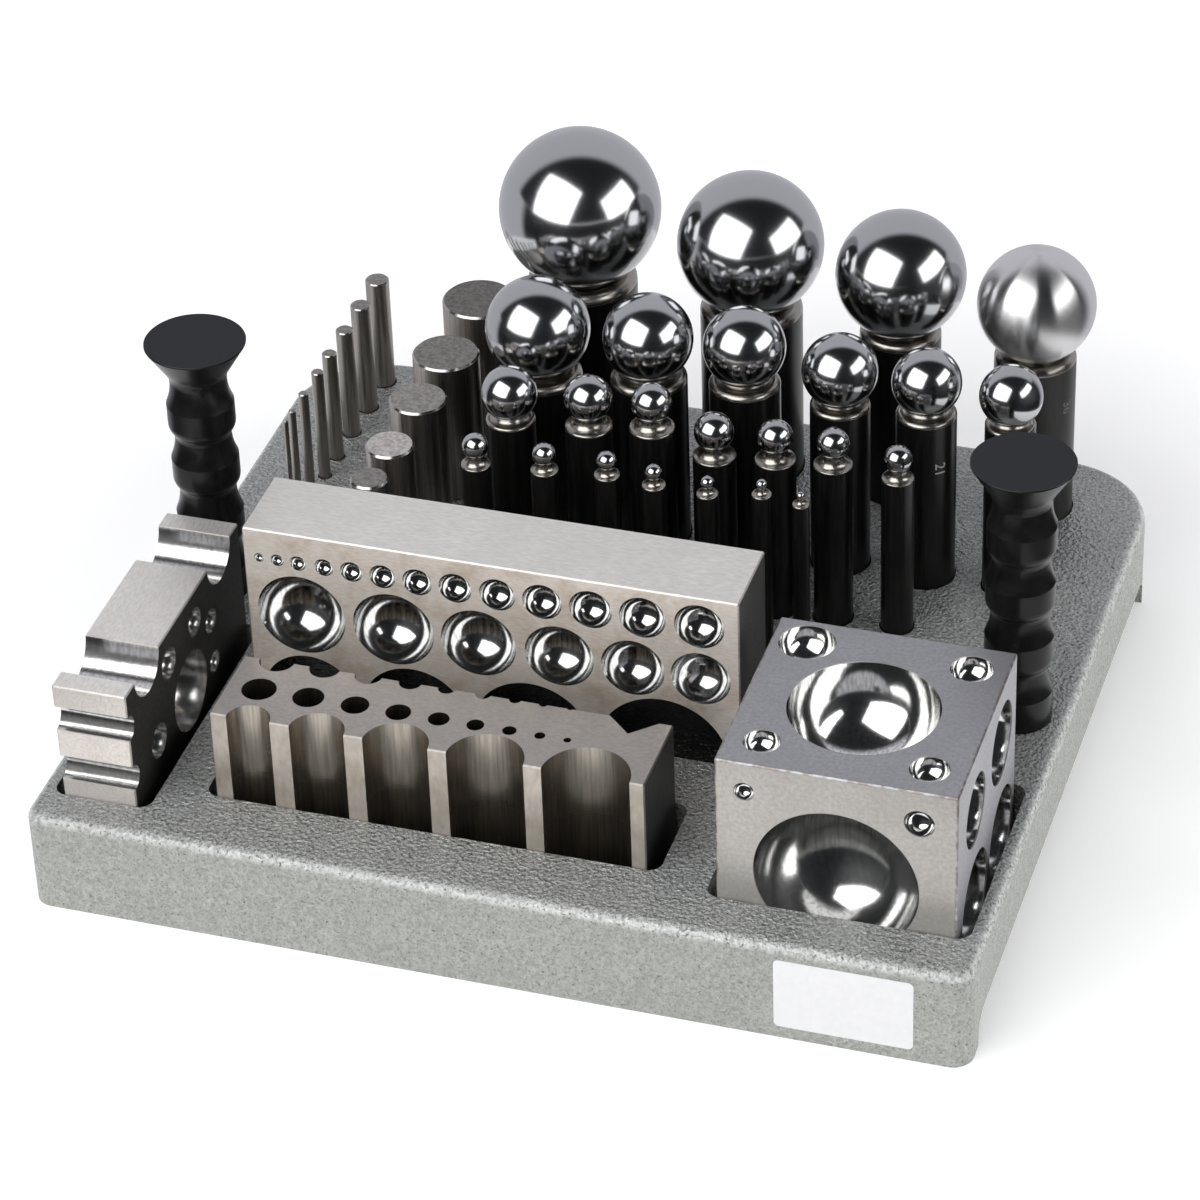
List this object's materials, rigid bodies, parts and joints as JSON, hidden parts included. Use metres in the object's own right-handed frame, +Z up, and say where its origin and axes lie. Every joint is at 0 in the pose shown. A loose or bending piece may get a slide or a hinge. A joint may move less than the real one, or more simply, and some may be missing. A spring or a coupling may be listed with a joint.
{
  "type": "dapping block and punch set",
  "caption": "Dapping cube, doming bar, swage block, design block, ball punches, rods and cylinders standing in a cast tray with two handles.",
  "frame": {"origin": "middle of the stand's underside, on the surface it stands on", "axes": "+X to the right along the stand's front edge, +Y to its back, +Z up"},
  "size_m": [0.28, 0.254, 0.1425],
  "materials": {
    "painted_casting": "light grey hammered paint",
    "ground_steel": "fine ground faces with polished bowls",
    "punch_steel": "mirror polished ball on a blackened shank",
    "black_rod_steel": "blackened sides with a ground grey end",
    "black_handle": "black satin"
  },
  "bodies": {
    "stand_body": {"stand": "painted_casting", "handle_left": "black_handle", "handle_right": "black_handle"},
    "dapping_cube_body": {"dapping_cube": "ground_steel"},
    "doming_bar_body": {"doming_bar": "ground_steel"},
    "swage_block_body": {"swage_block": "ground_steel"},
    "design_block_body": {"design_block": "ground_steel"},
    "ball_punch_01_body": {"ball_punch_01": "punch_steel"},
    "ball_punch_02_body": {"ball_punch_02": "punch_steel"},
    "ball_punch_03_body": {"ball_punch_03": "punch_steel"},
    "ball_punch_04_body": {"ball_punch_04": "punch_steel"},
    "ball_punch_05_body": {"ball_punch_05": "punch_steel"},
    "ball_punch_06_body": {"ball_punch_06": "punch_steel"},
    "ball_punch_07_body": {"ball_punch_07": "punch_steel"},
    "ball_punch_08_body": {"ball_punch_08": "punch_steel"},
    "ball_punch_09_body": {"ball_punch_09": "punch_steel"},
    "ball_punch_10_body": {"ball_punch_10": "punch_steel"},
    "ball_punch_11_body": {"ball_punch_11": "punch_steel"},
    "ball_punch_12_body": {"ball_punch_12": "punch_steel"},
    "ball_punch_13_body": {"ball_punch_13": "punch_steel"},
    "ball_punch_14_body": {"ball_punch_14": "punch_steel"},
    "ball_punch_15_body": {"ball_punch_15": "punch_steel"},
    "ball_punch_16_body": {"ball_punch_16": "punch_steel"},
    "ball_punch_17_body": {"ball_punch_17": "punch_steel"},
    "ball_punch_18_body": {"ball_punch_18": "punch_steel"},
    "ball_punch_19_body": {"ball_punch_19": "punch_steel"},
    "ball_punch_20_body": {"ball_punch_20": "punch_steel"},
    "ball_punch_21_body": {"ball_punch_21": "punch_steel"},
    "ball_punch_22_body": {"ball_punch_22": "punch_steel"},
    "ball_punch_23_body": {"ball_punch_23": "punch_steel"},
    "ball_punch_24_body": {"ball_punch_24": "punch_steel"},
    "rod_01_body": {"rod_01": "black_rod_steel"},
    "rod_02_body": {"rod_02": "black_rod_steel"},
    "rod_03_body": {"rod_03": "black_rod_steel"},
    "rod_04_body": {"rod_04": "black_rod_steel"},
    "rod_05_body": {"rod_05": "black_rod_steel"},
    "rod_06_body": {"rod_06": "black_rod_steel"},
    "rod_07_body": {"rod_07": "black_rod_steel"},
    "rod_08_body": {"rod_08": "black_rod_steel"},
    "cylinder_01_body": {"cylinder_01": "black_rod_steel"},
    "cylinder_02_body": {"cylinder_02": "black_rod_steel"},
    "cylinder_03_body": {"cylinder_03": "black_rod_steel"},
    "cylinder_04_body": {"cylinder_04": "black_rod_steel"},
    "cylinder_05_body": {"cylinder_05": "black_rod_steel"}
  },
  "joints": [
    {"name": "lift_dapping_cube", "type": "slide", "parent": "stand_body", "child": "dapping_cube_body", "axis": [0, 0, 1], "range_m": [0, 0.022]},
    {"name": "lift_doming_bar", "type": "slide", "parent": "stand_body", "child": "doming_bar_body", "axis": [0, 0, 1], "range_m": [0, 0.022]},
    {"name": "lift_swage_block", "type": "slide", "parent": "stand_body", "child": "swage_block_body", "axis": [0, 0, 1], "range_m": [0, 0.022]},
    {"name": "lift_design_block", "type": "slide", "parent": "stand_body", "child": "design_block_body", "axis": [0, 0, 1], "range_m": [0, 0.022]},
    {"name": "lift_ball_punch_01", "type": "slide", "parent": "stand_body", "child": "ball_punch_01_body", "axis": [0, 0, 1], "range_m": [0, 0.022]},
    {"name": "lift_ball_punch_02", "type": "slide", "parent": "stand_body", "child": "ball_punch_02_body", "axis": [0, 0, 1], "range_m": [0, 0.022]},
    {"name": "lift_ball_punch_03", "type": "slide", "parent": "stand_body", "child": "ball_punch_03_body", "axis": [0, 0, 1], "range_m": [0, 0.022]},
    {"name": "lift_ball_punch_04", "type": "slide", "parent": "stand_body", "child": "ball_punch_04_body", "axis": [0, 0, 1], "range_m": [0, 0.022]},
    {"name": "lift_ball_punch_05", "type": "slide", "parent": "stand_body", "child": "ball_punch_05_body", "axis": [0, 0, 1], "range_m": [0, 0.022]},
    {"name": "lift_ball_punch_06", "type": "slide", "parent": "stand_body", "child": "ball_punch_06_body", "axis": [0, 0, 1], "range_m": [0, 0.022]},
    {"name": "lift_ball_punch_07", "type": "slide", "parent": "stand_body", "child": "ball_punch_07_body", "axis": [0, 0, 1], "range_m": [0, 0.022]},
    {"name": "lift_ball_punch_08", "type": "slide", "parent": "stand_body", "child": "ball_punch_08_body", "axis": [0, 0, 1], "range_m": [0, 0.022]},
    {"name": "lift_ball_punch_09", "type": "slide", "parent": "stand_body", "child": "ball_punch_09_body", "axis": [0, 0, 1], "range_m": [0, 0.022]},
    {"name": "lift_ball_punch_10", "type": "slide", "parent": "stand_body", "child": "ball_punch_10_body", "axis": [0, 0, 1], "range_m": [0, 0.022]},
    {"name": "lift_ball_punch_11", "type": "slide", "parent": "stand_body", "child": "ball_punch_11_body", "axis": [0, 0, 1], "range_m": [0, 0.022]},
    {"name": "lift_ball_punch_12", "type": "slide", "parent": "stand_body", "child": "ball_punch_12_body", "axis": [0, 0, 1], "range_m": [0, 0.022]},
    {"name": "lift_ball_punch_13", "type": "slide", "parent": "stand_body", "child": "ball_punch_13_body", "axis": [0, 0, 1], "range_m": [0, 0.022]},
    {"name": "lift_ball_punch_14", "type": "slide", "parent": "stand_body", "child": "ball_punch_14_body", "axis": [0, 0, 1], "range_m": [0, 0.022]},
    {"name": "lift_ball_punch_15", "type": "slide", "parent": "stand_body", "child": "ball_punch_15_body", "axis": [0, 0, 1], "range_m": [0, 0.022]},
    {"name": "lift_ball_punch_16", "type": "slide", "parent": "stand_body", "child": "ball_punch_16_body", "axis": [0, 0, 1], "range_m": [0, 0.022]},
    {"name": "lift_ball_punch_17", "type": "slide", "parent": "stand_body", "child": "ball_punch_17_body", "axis": [0, 0, 1], "range_m": [0, 0.022]},
    {"name": "lift_ball_punch_18", "type": "slide", "parent": "stand_body", "child": "ball_punch_18_body", "axis": [0, 0, 1], "range_m": [0, 0.022]},
    {"name": "lift_ball_punch_19", "type": "slide", "parent": "stand_body", "child": "ball_punch_19_body", "axis": [0, 0, 1], "range_m": [0, 0.022]},
    {"name": "lift_ball_punch_20", "type": "slide", "parent": "stand_body", "child": "ball_punch_20_body", "axis": [0, 0, 1], "range_m": [0, 0.022]},
    {"name": "lift_ball_punch_21", "type": "slide", "parent": "stand_body", "child": "ball_punch_21_body", "axis": [0, 0, 1], "range_m": [0, 0.022]},
    {"name": "lift_ball_punch_22", "type": "slide", "parent": "stand_body", "child": "ball_punch_22_body", "axis": [0, 0, 1], "range_m": [0, 0.022]},
    {"name": "lift_ball_punch_23", "type": "slide", "parent": "stand_body", "child": "ball_punch_23_body", "axis": [0, 0, 1], "range_m": [0, 0.022]},
    {"name": "lift_ball_punch_24", "type": "slide", "parent": "stand_body", "child": "ball_punch_24_body", "axis": [0, 0, 1], "range_m": [0, 0.022]},
    {"name": "lift_rod_01", "type": "slide", "parent": "stand_body", "child": "rod_01_body", "axis": [0, 0, 1], "range_m": [0, 0.022]},
    {"name": "lift_rod_02", "type": "slide", "parent": "stand_body", "child": "rod_02_body", "axis": [0, 0, 1], "range_m": [0, 0.022]},
    {"name": "lift_rod_03", "type": "slide", "parent": "stand_body", "child": "rod_03_body", "axis": [0, 0, 1], "range_m": [0, 0.022]},
    {"name": "lift_rod_04", "type": "slide", "parent": "stand_body", "child": "rod_04_body", "axis": [0, 0, 1], "range_m": [0, 0.022]},
    {"name": "lift_rod_05", "type": "slide", "parent": "stand_body", "child": "rod_05_body", "axis": [0, 0, 1], "range_m": [0, 0.022]},
    {"name": "lift_rod_06", "type": "slide", "parent": "stand_body", "child": "rod_06_body", "axis": [0, 0, 1], "range_m": [0, 0.022]},
    {"name": "lift_rod_07", "type": "slide", "parent": "stand_body", "child": "rod_07_body", "axis": [0, 0, 1], "range_m": [0, 0.022]},
    {"name": "lift_rod_08", "type": "slide", "parent": "stand_body", "child": "rod_08_body", "axis": [0, 0, 1], "range_m": [0, 0.022]},
    {"name": "lift_cylinder_01", "type": "slide", "parent": "stand_body", "child": "cylinder_01_body", "axis": [0, 0, 1], "range_m": [0, 0.022]},
    {"name": "lift_cylinder_02", "type": "slide", "parent": "stand_body", "child": "cylinder_02_body", "axis": [0, 0, 1], "range_m": [0, 0.022]},
    {"name": "lift_cylinder_03", "type": "slide", "parent": "stand_body", "child": "cylinder_03_body", "axis": [0, 0, 1], "range_m": [0, 0.022]},
    {"name": "lift_cylinder_04", "type": "slide", "parent": "stand_body", "child": "cylinder_04_body", "axis": [0, 0, 1], "range_m": [0, 0.022]},
    {"name": "lift_cylinder_05", "type": "slide", "parent": "stand_body", "child": "cylinder_05_body", "axis": [0, 0, 1], "range_m": [0, 0.022]}
  ]
}
